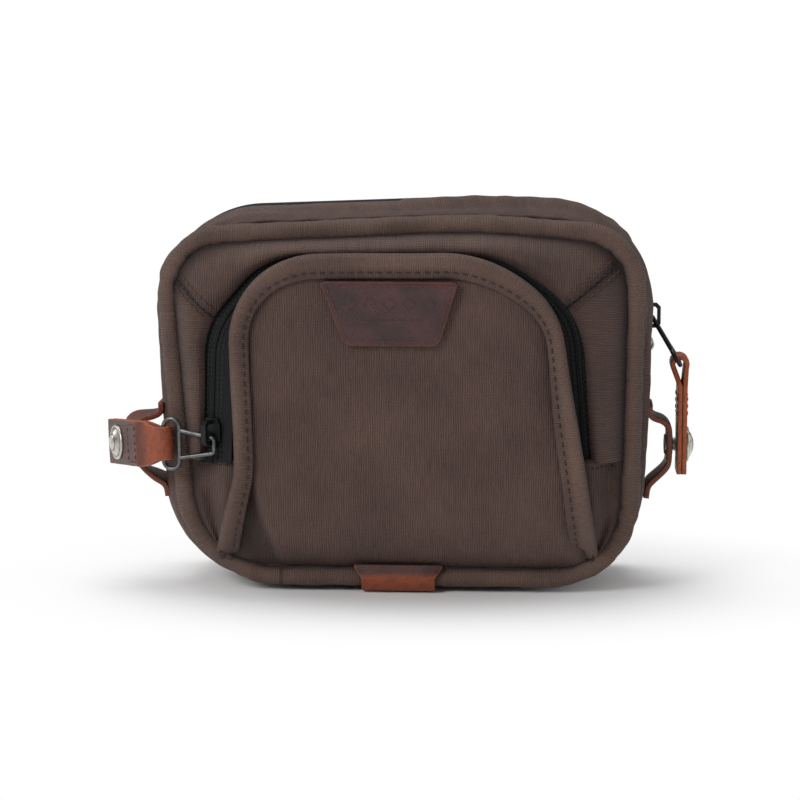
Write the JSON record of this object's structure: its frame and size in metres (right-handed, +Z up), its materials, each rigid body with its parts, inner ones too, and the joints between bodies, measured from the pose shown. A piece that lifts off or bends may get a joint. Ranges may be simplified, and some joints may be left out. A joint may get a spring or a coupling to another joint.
{
  "type": "motorcycle tool bag",
  "caption": "Small canvas motorcycle bag with a zipped main compartment, an arched zipped front pocket, and leather pull tabs that snap to side loops.",
  "frame": {"origin": "on the ground under the bag, at mid-width and mid-depth of the body, on the flat underside of the leather bottom tab", "axes": "+X to the viewer's right when facing the pocket, +Y from the pocket towards the back panel, +Z up"},
  "size_m": [0.2511, 0.0849, 0.1646],
  "materials": {
    "canvas": "waxed, ribbed, slightly scuffed",
    "lining": "plain dark lining",
    "board": "stiffener sheet",
    "zip_tape": "woven polyester tape",
    "zip_coil": "nylon coil",
    "leather": "oiled pull-up leather, orange where it bends",
    "badge_leather": "dark brown, matt",
    "dark_metal": "black, satin",
    "wire": "dark gunmetal",
    "nickel": "antique silver"
  },
  "bodies": {
    "main_body": {"back_panel": "canvas", "back_stiffener": "board", "back_lining": "lining", "rear_piping": "canvas", "rear_gusset": "canvas", "bottom_gusset": "canvas", "rear_zip_tape": "zip_tape", "rear_zip_coil": "zip_coil", "main_zip_stop_left": "dark_metal", "main_zip_stop_right": "dark_metal", "back_loop_left": "leather", "back_loop_right": "leather", "bottom_tab": "leather", "side_loop_left": "leather", "side_loop_right": "leather", "loop_stud_left": "nickel", "loop_stud_right": "nickel", "loop_eyelet_left": "nickel", "loop_eyelet_right": "nickel"},
    "front_shell": {"front_gusset": "canvas", "front_panel": "canvas", "front_lining": "lining", "front_piping": "canvas", "front_zip_tape": "zip_tape", "front_zip_coil": "zip_coil", "pocket_gusset_left": "canvas", "pocket_gusset_top": "canvas", "pocket_gusset_right": "canvas", "pocket_end_left": "canvas", "pocket_end_right": "canvas", "pocket_outer_tape": "zip_tape", "pocket_outer_coil": "zip_coil", "pocket_zip_stop_start": "dark_metal", "pocket_zip_stop_end": "dark_metal"},
    "pocket_flap": {"pocket_face": "canvas", "pocket_welt": "canvas", "badge_patch": "badge_leather", "pocket_inner_tape": "zip_tape", "pocket_inner_coil": "zip_coil"},
    "main_runner": {"main_slider": "dark_metal", "main_slider_bridge": "dark_metal"},
    "main_link": {"main_pull_link": "wire"},
    "main_pull": {"main_pull_tab": "leather", "main_snap_cap": "nickel", "main_snap_socket": "nickel"},
    "pocket_runner": {"pocket_slider": "dark_metal", "pocket_slider_bridge": "dark_metal"},
    "pocket_link": {"pocket_pull_link": "wire"},
    "pocket_pull": {"pocket_pull_tab": "leather", "pocket_snap_cap": "nickel", "pocket_snap_socket": "nickel"}
  },
  "joints": [
    {"name": "mouth", "type": "hinge", "parent": "main_body", "child": "front_shell", "pos_m": [0, -0.029, 0.0063], "axis": [1, 0, 0], "range_deg": [0, 14]},
    {"name": "pocket_opening", "type": "hinge", "parent": "front_shell", "child": "pocket_flap", "pos_m": [0, -0.0346, 0.0133], "axis": [1, 0, 0], "range_deg": [0, 30]},
    {"name": "main_zip_run", "type": "hinge", "parent": "main_body", "child": "main_runner", "pos_m": [0.06075, 0, 0.11994], "axis": [0, -1, 0], "range_deg": [0, 88]},
    {"name": "main_link_swing", "type": "hinge", "parent": "main_runner", "child": "main_link", "pos_m": [0.10622, 0, 0.1133], "axis": [0, -1, 0], "range_deg": [0, 80]},
    {"name": "main_tab_swing", "type": "hinge", "parent": "main_link", "child": "main_pull", "pos_m": [0.11781, 0, 0.09401], "axis": [0, -1, 0], "range_deg": [0, 60]},
    {"name": "pocket_zip_run", "type": "slide", "parent": "front_shell", "child": "pocket_runner", "axis": [0.0339, 0, 0.9994], "range_m": [0, 0.022]},
    {"name": "pocket_link_swing", "type": "hinge", "parent": "pocket_runner", "child": "pocket_link", "pos_m": [-0.076, -0.04302, 0.06355], "axis": [0, 0, 1], "range_deg": [0, 6]},
    {"name": "pocket_tab_swing", "type": "hinge", "parent": "pocket_link", "child": "pocket_pull", "pos_m": [-0.09783, -0.03758, 0.06355], "axis": [0, 0, 1], "range_deg": [0, 60]}
  ]
}
